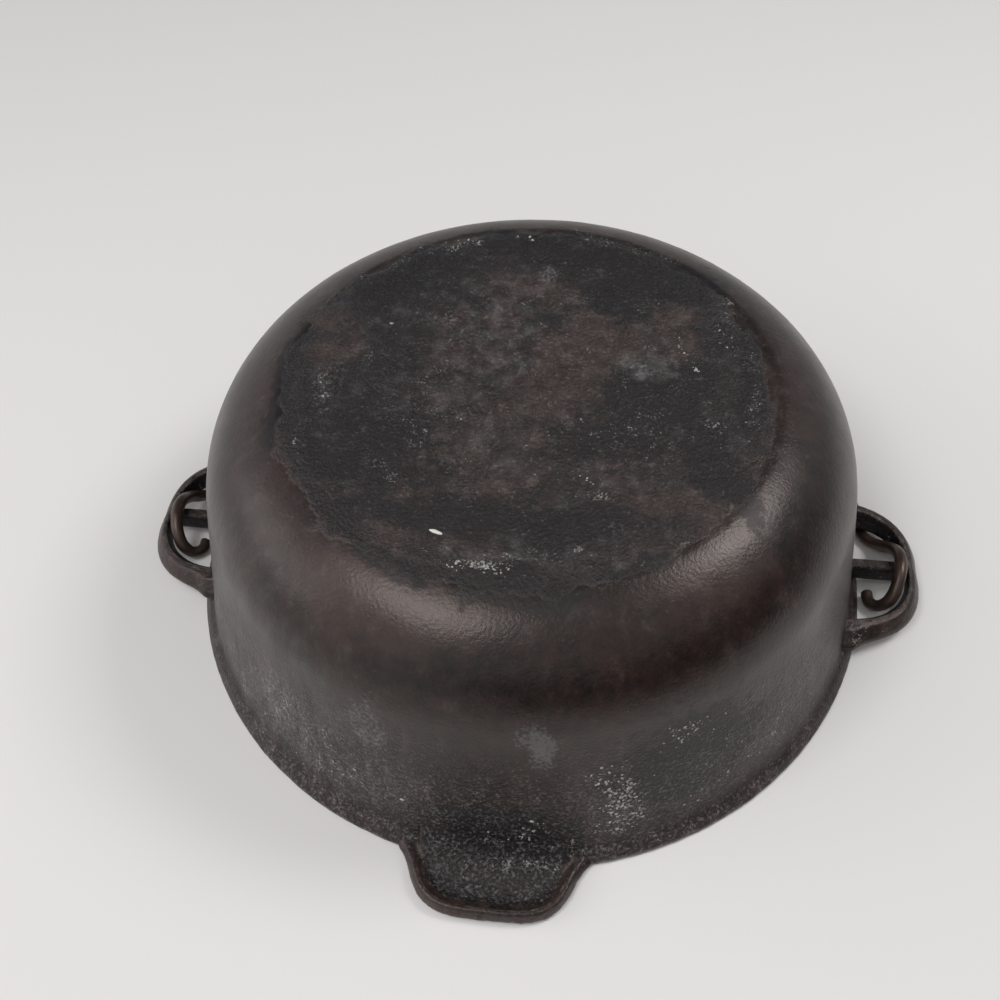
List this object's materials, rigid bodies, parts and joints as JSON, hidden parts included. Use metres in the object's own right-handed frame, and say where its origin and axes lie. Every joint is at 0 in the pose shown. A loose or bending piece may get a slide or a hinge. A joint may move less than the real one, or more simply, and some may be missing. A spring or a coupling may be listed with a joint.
{
  "type": "dutch oven",
  "caption": "Cast-iron dutch oven without its lid, standing mouth down: tapered wall, rounded shoulder, flat base, pouring tab and two looped ears that carry a swinging wire bail.",
  "frame": {"origin": "centre of the rim's circle in the plane that the mouth stands on, as pictured upside down", "axes": "+Z from the mouth's rim to the base, which is upwards as it stands mouth down; +X and -X through the two bail ears; -Y through the pouring tab; the folded bail lies on the +Y side"},
  "size_m": [0.3196, 0.3118, 0.104],
  "materials": {
    "seasoned_iron": "seasoned cast iron, satin, with baked-on carbon and fine pits",
    "bail_wire": "drawn steel rod, oxidised dark brown and rubbed smooth"
  },
  "bodies": {
    "pot": {"pot": "seasoned_iron"},
    "bail": {"bail": "bail_wire"}
  },
  "joints": [
    {"name": "bail_swing", "type": "hinge", "parent": "pot", "child": "bail", "pos_m": [0, 0, 0.0083], "axis": [-1, 0, 0], "range_deg": [0, 145]}
  ]
}
